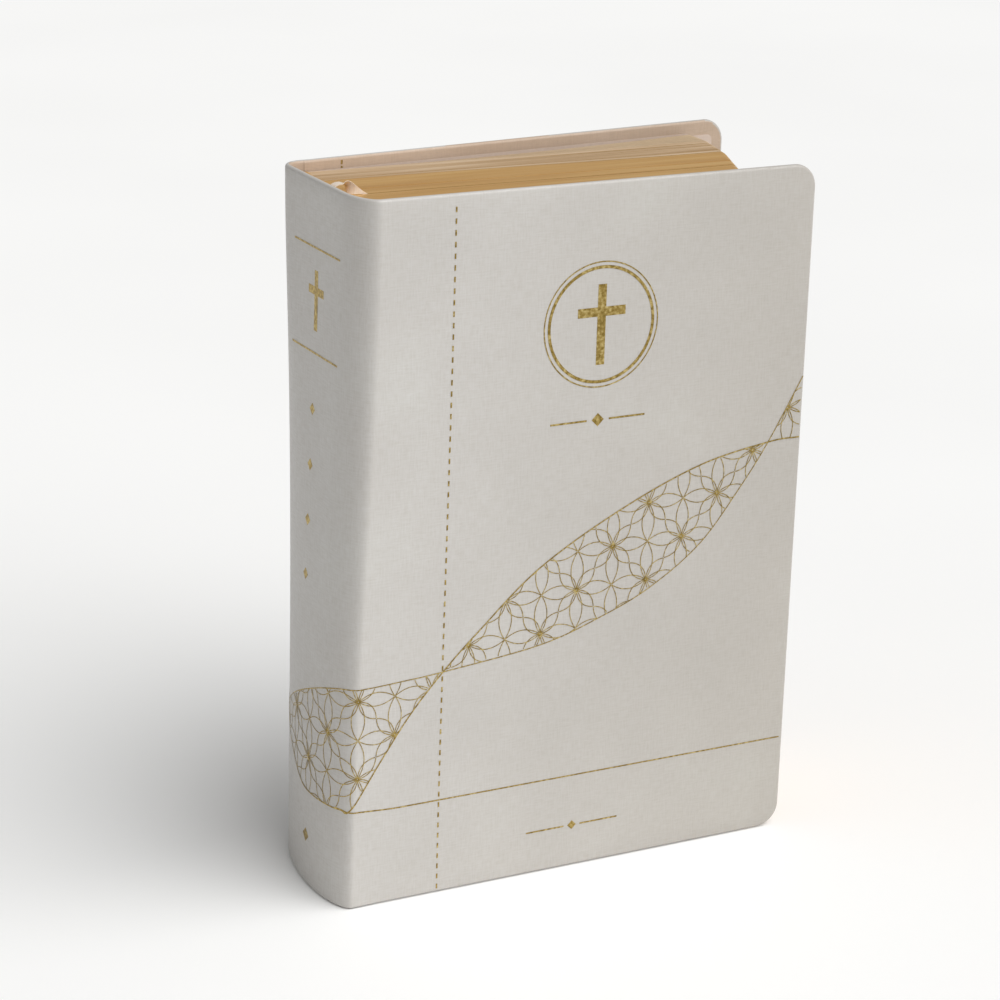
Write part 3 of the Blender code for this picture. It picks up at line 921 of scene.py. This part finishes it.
# %% Fan of the last gathering
FAN_BUNDLES = 11
FAN_START = 9.0
last_front = gathering_front(GATHERINGS)
endleaf_turn = rest_turn("back_flyleaf_hinge")
endleaf_pivot = pivot_of("back_flyleaf_hinge")


def share_length(share):
    """Length over which a bend is spread so that the fore-edge gets this share of it."""
    low, high = 0.0, 1.0
    for _ in range(40):
        middle = (low + high) / 2
        low, high = (middle, high) if float(ease(middle)) < share else (low, middle)
    return (BACK_LEAF_END - FAN_START) / ((low + high) / 2)


for number in range(FAN_BUNDLES):
    step = (GATHERING + 0.2) / FAN_BUNDLES
    front = last_front + number * step
    share = 0.22 + 0.66 * (number / (FAN_BUNDLES - 1)) ** 1.1
    bundle = leaf_stack(f"fanned_leaves_{number + 1:02d}", front, front + step * 0.86, 1)
    end = FAN_START + share_length(share)
    set_coords(bundle, splay_back(coords(bundle), FAN_START, end, endleaf_turn, endleaf_pivot))
    outward(bundle)
    settle(bundle, 25)
    paint_edges(bundle, pale_gilt, fanned_paper)
    if number == 0:
        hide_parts("gathering_24")
    bend_window(bundle, "back_endleaf", FAN_START, end)
print(FAN_BUNDLES, "fanned bundles")

# %% [markdown]
# ## Gold foil on the cloth
#
# The decoration is foil pressed into the cloth: a dashed line beside the hinge, a thin line above the tail,
# and two curves that cross and run on round the spine, with a lattice of petals between them. Each line is
# a strip drawn flat on the blank and wrapped by the same formula as the cloth, so that it follows the
# spine. The marks are plain: a cross in a ring, rules and lozenges stand where a book has its title.

# %% Lines on the blank
FOIL_LIFT = 0.045
FOIL_LAYER = 0.005
NODE_GAP = 0.15
LINE_WIDTH = 0.44
FINE_LINE_WIDTH = 0.32
PETAL_WIDTH = 0.26
FOIL_FILM = 0.03


def catmull_rom(a, b, c, d, t):
    """Catmull-Rom point at t between b and c."""
    return (2 * b + (c - a) * t + (2 * a - 5 * b + 4 * c - d) * t**2 + (3 * b - a - 3 * c + d) * t**3) / 2


def smooth_through(points, spacing=0.8):
    """Catmull-Rom curve through (s, z) points, evenly spaced."""
    p = np.array([2 * np.array(points[0]) - points[1], *points, 2 * np.array(points[-1]) - points[-2]])
    fine = []
    for a, b, c, d in zip(p, p[1:], p[2:], p[3:]):
        for t in np.linspace(0, 1, 24, endpoint=False):
            fine.append(catmull_rom(a, b, c, d, t))
    fine = np.array(fine + [p[-2]])
    run = np.append(0, np.cumsum(np.linalg.norm(np.diff(fine, axis=0), axis=1)))
    even = np.linspace(0, run[-1], max(2, int(run[-1] / spacing)))
    return np.stack([np.interp(even, run, fine[:, k]) for k in (0, 1)], 1)


def arc(start, end, rise, steps=26):
    """A shallow arc between two points, as on one side of a petal, stopping just short of both."""
    start, end = np.array(start, float), np.array(end, float)
    gap = NODE_GAP / np.linalg.norm(end - start)
    t = np.linspace(gap, 1 - gap, steps)[:, None]
    side = np.array([start[1] - end[1], end[0] - start[0]]) / np.linalg.norm(end - start)
    return start + (end - start) * t + side * rise * 4 * t * (1 - t)


print("foil lines", LINE_WIDTH, "mm wide, petals", PETAL_WIDTH, "mm")


class Strips:
    """Collects flat strips of foil as one mesh on the blank."""

    def __init__(self):
        self.points, self.faces = [], []

    def add(self, line, width, layer=0):
        """A strip along a line; crossing families lie on layers a few microns apart."""
        line = np.asarray(line, float)
        if len(line) < 2:
            return
        run = np.gradient(line, axis=0)
        side = np.stack([-run[:, 1], run[:, 0]], 1)
        side /= np.maximum(np.linalg.norm(side, axis=1, keepdims=True), 1e-9)
        base = len(self.points)
        for point, across in zip(line, side):
            for sense in (1, -1):
                s, z = point + sense * across * width / 2
                self.points.append((s, -FOIL_LIFT - layer * FOIL_LAYER, z))
        for i in range(len(line) - 1):
            k = base + 2 * i
            self.faces.append((k, k + 2, k + 3, k + 1))

    def patch(self, corners):
        base = len(self.points)
        self.points += [(s, -FOIL_LIFT, z) for s, z in corners]
        self.faces.append(tuple(range(base, base + len(corners))))

    def make(self, name):
        mesh = bpy.data.meshes.new(name)
        mesh.from_pydata(self.points, [], self.faces)
        return add_object(name, mesh)


# %% [markdown]
# ### The crossing curves
#
# Two curves are drawn through a few places, as a designer draws with a spline. Places on the spine
# are given by how far through the book they lie, and one function finds them on the flat blank.

# %% The crossing curves
upper_spine = [
    (57.5, 47.5), (53.0, 51.5), (46.0, 56.2), (37.5, 61.3), (27.5, 66.1), (16.3, 70.6), (7.7, 73.4),
    (1.9, 74.6),
]
lower_spine = [
    (57.5, 55.5), (53.0, 51.0), (46.0, 45.2), (35.9, 38.3), (31.6, 35.4), (24.6, 33.0), (10.3, 33.2),
    (3.3, 33.6), (0.6, 34.0),
]
upper_front = [
    (8.0, 75.0), (15.4, 75.4), (30.4, 76.4), (64.9, 80.2), (86.7, 86.5), (104.9, 94.2), (123.1, 106.8),
    (137.4, 124.2), (147.3, 138.5), (157.6, 156.5), (159.3, 159.6),
]
lower_front = [
    (8.8, 49.0), (19.0, 63.5), (30.4, 76.4), (43.1, 88.6), (64.0, 106.5), (92.5, 122.2), (121.6, 133.7),
    (147.3, 138.5), (157.9, 138.9), (159.3, 138.9),
]


def spine_point(y, z):
    """Blank place of a point on the spine, given how far through the book it is."""
    line, lengths = spine_line(round(float(z), 1))
    run = np.interp(y, line[1:-1, 1], lengths[1:-1])
    return HINGE_X - SPINE_LENGTH * run / lengths[-1], z


curve_a = smooth_through([spine_point(y, z) for y, z in upper_spine] + upper_front)
curve_b = smooth_through([spine_point(y, z) for y, z in lower_spine] + lower_front)
print("points along the two curves:", len(curve_a), len(curve_b))


def between_curves(line):
    a = np.interp(line[:, 0], curve_a[:, 0], curve_a[:, 1])
    b = np.interp(line[:, 0], curve_b[:, 0], curve_b[:, 1])
    inside = (line[:, 1] > np.minimum(a, b)) & (line[:, 1] < np.maximum(a, b))
    start = max(curve_a[0, 0], curve_b[0, 0])
    return inside & (line[:, 0] > start) & (line[:, 0] < REACH - 0.9)


def add_inside(strips, line, width, layer):
    """Only the runs of a line that lie between the two curves."""
    inside = between_curves(line)
    run = []
    for point, kept in zip(line, inside):
        if kept:
            run.append(point)
        elif run:
            strips.add(run, width, layer)
            run = []
    strips.add(run, width, layer)


# %% [markdown]
# ### Petals, dashes and lines
#
# The lattice is a grid of nodes joined by pairs of shallow arcs, which read as petals. Every
# second node has four diagonal petals too. Only what lies between the curves is kept, as if the
# foil die were cut to that outline.

# %% Petals, dashes and lines
LATTICE = (12.77, 13.10)
LATTICE_ORIGIN = (77.6, 97.1)
PETAL_RISE = 2.25
HALF_PETAL_RISE = 1.9
DASH_PITCH = 3.6
DASH = 1.7
DASH_HEAD_X = 31.6
DASH_TAIL_X = 29.7
DASH_WIDTH = 0.55
TAIL_LINE_Z = 32.4
TAIL_LINE_RISE = 0.9

cover_foil = Strips()
cover_foil.add(curve_a, FINE_LINE_WIDTH, 7)
cover_foil.add(curve_b, LINE_WIDTH, 8)
for i in range(-11, 8):
    for j in range(-6, 6):
        node = (LATTICE_ORIGIN[0] + i * LATTICE[0], LATTICE_ORIGIN[1] + j * LATTICE[1])
        for layer, end in ((1, (node[0] + LATTICE[0], node[1])), (3, (node[0], node[1] + LATTICE[1]))):
            for rise in (PETAL_RISE, -PETAL_RISE):
                add_inside(cover_foil, arc(node, end, rise), PETAL_WIDTH, layer + int(rise > 0))
        if (i + j) % 2 == 0:
            for across in (1, -1):
                for along in (1, -1):
                    end = (node[0] + across * LATTICE[0] / 2, node[1] + along * LATTICE[1] / 2)
                    for rise in (HALF_PETAL_RISE, -HALF_PETAL_RISE):
                        add_inside(cover_foil, arc(node, end, rise, 16), PETAL_WIDTH, 5 + int(rise > 0))


def dashes(strips, head_x, tail_x):
    z = 1.2
    while z + DASH < HEIGHT - 0.8:
        x = [tail_x + (head_x - tail_x) * ease(place / HEIGHT) for place in (z, z + DASH)]
        strips.add([(x[0], z), (x[1], z + DASH)], DASH_WIDTH)
        z += DASH_PITCH


dashes(cover_foil, DASH_HEAD_X, DASH_TAIL_X)
line_start = spine_point(2.0, TAIL_LINE_Z + TAIL_LINE_RISE)[0]
tail_line = [
    (s, TAIL_LINE_Z + TAIL_LINE_RISE * (1 - float(ease((s - line_start) / 20))))
    for s in np.arange(line_start, REACH - 1.0, 0.8)
]
cover_foil.add(tail_line, LINE_WIDTH)
print("foil strips:", len(cover_foil.faces), "faces")

# %% [markdown]
# ### Plain marks
#
# Type could be stamped here. A plain cross, a ring, rules and lozenges keep the book generic, and
# each is an outline of a few points.

# %% Plain marks on cover and spine
CROSS_PLACE = (83.0, 184.5)


def lozenge(strips, s, z, half_width, half_height):
    strips.patch([(s - half_width, z), (s, z - half_height), (s + half_width, z), (s, z + half_height)])


def latin_cross(strips, s, z, width, height, bar):
    """A plain cross, its arms a little above the middle."""
    half, arm = bar / 2, z + height * 0.16
    low, high = z - height / 2, z + height / 2
    strips.patch([
        (s - half, low), (s + half, low), (s + half, arm - half), (s + width / 2, arm - half),
        (s + width / 2, arm + half), (s + half, arm + half), (s + half, high), (s - half, high),
        (s - half, arm + half), (s - width / 2, arm + half), (s - width / 2, arm - half),
        (s - half, arm - half),
    ])


def ring(strips, s, z, radius, width):
    turn = np.linspace(0, 2 * math.pi, 97)
    strips.add(np.stack([s + radius * np.cos(turn), z + radius * np.sin(turn)], 1), width)


latin_cross(cover_foil, *CROSS_PLACE, 17.0, 26.0, 3.0)
ring(cover_foil, *CROSS_PLACE, 18.5, 1.0)
ring(cover_foil, *CROSS_PLACE, 20.2, 0.4)
for left, right_end in ((66.0, 79.0), (87.0, 100.0)):
    cover_foil.add([(left, 153.5), (right_end, 153.5)], 0.6)
lozenge(cover_foil, 83.0, 153.5, 2.2, 2.2)
for left, right_end in ((62.0, 76.0), (82.0, 96.0)):
    cover_foil.add([(left, 14.5), (right_end, 14.5)], 0.5)
lozenge(cover_foil, 79.0, 14.5, 1.6, 1.6)


def spine_rule(z, low_y, high_y, width):
    ends = [spine_point(y, z)[0] for y in (low_y, high_y)]
    cover_foil.add([(s, z) for s in np.linspace(*ends, 40)], width)


spine_middle = spine_point(THICKNESS / 2, 195)[0]
for z in (209.0, 176.0):
    spine_rule(z, 14, 48, 0.6)
latin_cross(cover_foil, spine_middle, 192.5, 12.0, 19.0, 2.6)
for z in (158.0, 140.0, 122.0, 104.0):
    lozenge(cover_foil, spine_point(THICKNESS / 2, z)[0], z, 2.0, 2.0)
lozenge(cover_foil, spine_point(24, 17)[0], 17.0, 2.4, 2.4)
print("foil with its marks:", len(cover_foil.faces), "faces")

# %% [markdown]
# ### Pressing the foil on
#
# Real foil is about a micron thick. It is drawn 0.03 mm thick and just proud of the cloth, so that
# each strip has its own two faces and neither lies in the cloth's own.

# %% Press the foil on
front_foil = cover_foil.make("front_and_spine_foil")
set_coords(front_foil, wrap(coords(front_foil)))


def press_on(obj):
    """A film 0.03 mm thick, its faces outwards."""
    film = obj.modifiers.new("film", "SOLIDIFY")
    film.thickness = FOIL_FILM
    film.offset = -1
    take(obj)
    bpy.ops.object.modifier_apply(modifier="film")
    settle(obj)
    finish_piece(obj, foil)


press_on(front_foil)
bend_window(front_foil, "front_cover", HINGE_X, BLEND_END)
print("front foil:", len(front_foil.data.polygons), "faces")

# %% [markdown]
# ### Foil on the back cover and on the turned-in cloth
#
# A line, a curve and the dashes run on over the back cover. The dashed line is turned in with the
# cloth at the head, so two short dashes show inside each cover.

# %% Foil on the back cover and on the turned-in cloth
BACK_DASH_X = 21.2
back_foil_strips = Strips()
dashes(back_foil_strips, BACK_DASH_X, BACK_DASH_X)
back_foil_strips.add([(x, TAIL_LINE_Z) for x in np.arange(44.0, BACK_REACH - 1.0, 2.0)], LINE_WIDTH)
back_a = smooth_through([(8.4, 44.5), (20.0, 38.5), (32.0, 34.3), (44.0, TAIL_LINE_Z)])
back_b = smooth_through(
    [(8.4, 57.5), (30.0, 76.4), (64.0, 104.0), (92.0, 121.0), (122.0, 133.7), (157.5, 139.5)]
)
back_foil_strips.add(back_a, LINE_WIDTH)
back_foil_strips.add(back_b, LINE_WIDTH)
back_foil = back_foil_strips.make("back_cover_foil")
set_coords(back_foil, splay_back(mirror_y(coords(back_foil))))
flip(back_foil)
press_on(back_foil)
bend_window(back_foil, "back_cover", HINGE_X, BLEND_END)
print("back foil:", len(back_foil.data.polygons), "faces")

for side, dash_x in (("front", DASH_HEAD_X), ("back", BACK_DASH_X)):
    inside = Strips()
    for low, high in ((-2.3, -1.0), (-4.6, -2.9)):
        inside.add([(dash_x, HEIGHT + low), (dash_x, HEIGHT + high)], 0.6)
    turned_in = inside.make(side + "_turn_in_foil")
    flat = coords(turned_in)
    flat[:, 1] = COVER_WALL + FOIL_LIFT
    set_coords(turned_in, splay_back(mirror_y(flat)) if side == "back" else flat)
    if side == "front":
        flip(turned_in)
    press_on(turned_in)
    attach(turned_in, side + "_cover")

# %% [markdown]
# ## Silk bands and satin marker
#
# A silk band is wound over a cord and glued across each end of the spine. The round section of
# the cord is extruded along the back of the block, fatter in the middle of each wrap, so the
# thread shows as relief. The marker is one long satin ribbon: glued low on the spine under the
# lining, over the headband, then turned on edge and laid down between two gatherings.

# %% Headband and tailband
BAND_RADIUS = 0.8
BAND_WAIST = 0.86
BAND_SETBACK = 7.0
WRAP_MM = 1.05


def silk(name):
    material, tree, shader, place = new_material(name, 0.38, sheen=0.25)
    wave = add_node(
        tree, "ShaderNodeTexWave", {"wave_type": "BANDS", "bands_direction": "Y"},
        {"Scale": MM / WRAP_MM / 20 * 0.5, "Distortion": 0.6, "Detail": 1.0}, {"Vector": place},
    )
    colour = ramp(tree, wave.outputs["Fac"], [(0.35, "#C98F1C"), (0.55, "#E3B23C"), (0.8, "#F1D58A")])
    tree.links.new(colour, shader.inputs["Base Color"])
    fine = noise(tree, stretched(tree, place, (400, 5000, 400)))
    bump(tree, shader, fine, 0.3, 0.05)
    return material


silk_thread = silk("yellow_silk_thread")
for name, band_z in (("headband", leaf_high.z + 0.4), ("tailband", leaf_low.z - 0.4)):
    deselect()
    start_y, end_y = BAND_SETBACK, THICKNESS - BAND_SETBACK
    bpy.ops.mesh.primitive_circle_add(
        vertices=12, radius=BAND_RADIUS * BAND_WAIST, fill_type="NGON",
        location=(0, start_y, band_z), rotation=(math.pi / 2, 0, 0),
    )
    band = bpy.context.active_object
    band.name = name + "_silk"
    bpy.ops.object.transform_apply(location=True, rotation=True, scale=True)
    bpy.ops.object.mode_set(mode="EDIT")
    bpy.ops.mesh.select_all(action="SELECT")
    wraps = int((end_y - start_y) / WRAP_MM)
    step = (end_y - start_y) / wraps / 2
    for turn in range(2 * wraps):
        bpy.ops.mesh.extrude_region_move(TRANSFORM_OT_translate={"value": (0, step, 0)})
        grow = 1 / BAND_WAIST if turn % 2 == 0 else BAND_WAIST
        bpy.ops.transform.resize(value=(grow, 1, grow), center_override=(0, 0, band_z))
    leave_edit()
    values = coords(band)
    values[:, 0] += block_back(values[:, 1]) - 0.35
    set_coords(band, values)
    outward(band)
    settle(band, 60)
    finish_piece(band, silk_thread, [name])
    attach(band, "spine_and_block")
    print(name, wraps, "wraps")

# %% [markdown]
# ### Satin marker
#
# A ribbon turns on edge without stretching. A six-sided section is carried along a smooth route
# and turned about it, which says more exactly where the turn comes than a curve object would.

# %% Satin marker
RIBBON_WIDTH = 3.4
RIBBON_THICK = 0.25


def satin():
    material, tree, shader, place = new_material("cream_satin_ribbon", 0.34, sheen=0.2)
    threads = noise(tree, stretched(tree, place, (1800, 1800, 120)), Detail=2.0)
    colour = ramp(tree, threads, [(0.3, "#EBD9C4"), (0.6, "#F3E5D6"), (0.8, "#F9EFE5")])
    tree.links.new(colour, shader.inputs["Base Color"])
    bump(tree, shader, threads, 0.25, 0.05)
    return material


slot_y = gathering_front(RIBBON_AFTER) + GATHERING + (SLOT_EXTRA + 0.3) / 2
root_y = slot_y + 4.0
lining_x = block_back(root_y) - 1.9 - 0.125
bead_x = block_back(root_y)
head_z = leaf_high.z
arch_z = head_z + 2.75
end_x = fore_edge(slot_y) - 15.0
end_z = leaf_low.z + 11.0
ribbon_points = [
    (lining_x, root_y, head_z - 18), (lining_x, root_y, head_z - 9), (lining_x, root_y, head_z - 3),
    (lining_x, root_y, head_z + 1.2), (bead_x - 0.2, root_y, arch_z), (bead_x + 2.5, root_y - 0.5, arch_z),
    (bead_x + 4.0, slot_y + 1.3, head_z + 1.2), (bead_x + 6.0, slot_y + 0.2, head_z - 0.5),
    (bead_x + 9, slot_y, head_z - 2.2), (bead_x + 15, slot_y, head_z - 4.4),
    (bead_x + 24, slot_y, head_z - 7), (bead_x + 32, slot_y, head_z - 17),
    (bead_x + 50, slot_y, head_z - 48), ((bead_x + end_x) / 2 + 14, slot_y, (head_z + end_z) / 2 - 12),
    (end_x, slot_y, end_z),
]


def smooth_route(points, per_span):
    p = [Vector(point) for point in points]
    p = [2 * p[0] - p[1]] + p + [2 * p[-1] - p[-2]]
    route = []
    for a, b, c, d in zip(p, p[1:], p[2:], p[3:]):
        for i in range(per_span):
            route.append(catmull_rom(a, b, c, d, i / per_span))
    return route + [p[-2]]


route = smooth_route(ribbon_points, 10)
ribbon_length = sum((b - a).length for a, b in zip(route, route[1:]))
points, faces = [], []
for i, point in enumerate(route):
    run = (route[min(i + 1, len(route) - 1)] - route[max(i - 1, 0)]).normalized()
    share = float(ease((point.x - BACK_X - 1.2) / 4.0))
    flat_side = Vector((0, 1, 0))
    flat_side = (flat_side - run * flat_side.dot(run)).normalized()
    side = Matrix.Rotation(-math.pi / 2 * share, 3, run) @ flat_side
    face = run.cross(side) * RIBBON_THICK / 2
    wide = side * RIBBON_WIDTH / 2
    points += [
        point + face + wide, point + face * 1.25, point + face - wide,
        point - face - wide, point - face * 0.75, point - face + wide,
    ]
    if i:
        k = 6 * i
        for n in range(6):
            m = (n + 1) % 6
            faces.append((k - 6 + n, k - 6 + m, k + m, k + n))
faces += [tuple(range(6)), tuple(range(len(points) - 6, len(points)))]
ribbon_mesh = bpy.data.meshes.new("satin_marker")
ribbon_mesh.from_pydata(points, [], faces)
ribbon = add_object("satin_marker", ribbon_mesh)
set_coords(ribbon, squeeze(coords(ribbon)))
outward(ribbon)
settle(ribbon, 40)
finish_piece(ribbon, satin(), ["ribbon_marker"])
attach(ribbon, "spine_and_block")
print(f"ribbon {ribbon_length:.0f} mm long")

# %% [markdown]
# ## Linings behind the spine
#
# Tapes, mull and paper lining are flat glued layers whose CAD shapes are right, so they stay and
# only get finishes: woven cotton, open gauze and kraft paper. They lie behind the spine and hardly
# show.

# %% Finishes of the hidden layers
def woven(name, light, dark, pitch_mm, roughness=0.9):
    material, tree, shader, place = new_material(name, roughness, sheen=0.1)
    waves = []
    for direction in ("Y", "Z"):
        wave = add_node(
            tree, "ShaderNodeTexWave", {"wave_type": "BANDS", "bands_direction": direction},
            {"Scale": MM / pitch_mm / 20, "Distortion": 0.4}, {"Vector": place},
        )
        waves.append(wave.outputs["Fac"])
    weave = maths(tree, "MULTIPLY", waves[0], waves[1])
    tree.links.new(ramp(tree, weave, [(0.1, dark), (0.6, light)]), shader.inputs["Base Color"])
    bump(tree, shader, weave, 0.5, 0.1)
    return material


cotton = woven("woven_cotton_tape", "#D8CDB6", "#B7AA8E", 0.6)
gauze = woven("open_mull_gauze", "#E2DAC8", "#9C917A", 1.4)
kraft = paper("kraft_paper_lining", [(0.3, "#A98C66"), (0.7, "#BCA07A")], 0.85)
spine_layers = {"spine_mull": gauze, "spine_lining": kraft}
for name, node in frame["nodes"].items():
    look = cotton if name.startswith("sewing_tape") else spine_layers.get(name)
    if look:
        node.data.materials.clear()
        node.data.materials.append(look)
print("hidden layers finished")

# %% [markdown]
# ## Floor
#
# The book stands on matt white card. A very faint glow keeps the card white right up to the book,
# which more light would do too, but only by washing out the cloth.

# %% Floor
FLOOR_GLOW = 0.06
deselect()
bpy.ops.mesh.primitive_plane_add(size=6, location=(0, 0, -0.0004))
floor = bpy.context.active_object
floor.name = "studio_floor"
floor_paint, floor_tree, floor_shader, floor_place = new_material("matt_white_floor", 0.9)
floor_tone = ramp(floor_tree, noise(floor_tree, floor_place, 3.0), [(0.3, "#F4F4F3"), (0.7, "#F7F7F6")])
floor_tree.links.new(floor_tone, floor_shader.inputs["Base Color"])
floor.data.materials.append(floor_paint)
floor_shader.inputs["Emission Color"].default_value = linear("#FFFFFF")
floor_shader.inputs["Emission Strength"].default_value = FLOOR_GLOW
floor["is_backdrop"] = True
print("floor ready")

# %% [markdown]
# ## Sizes
#
# The box round the finished pieces is printed, in millimetres.

# %% Print the size of the finished pieces
low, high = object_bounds()
print("finished box, mm:", [round(1000 * side) for side in high - low])
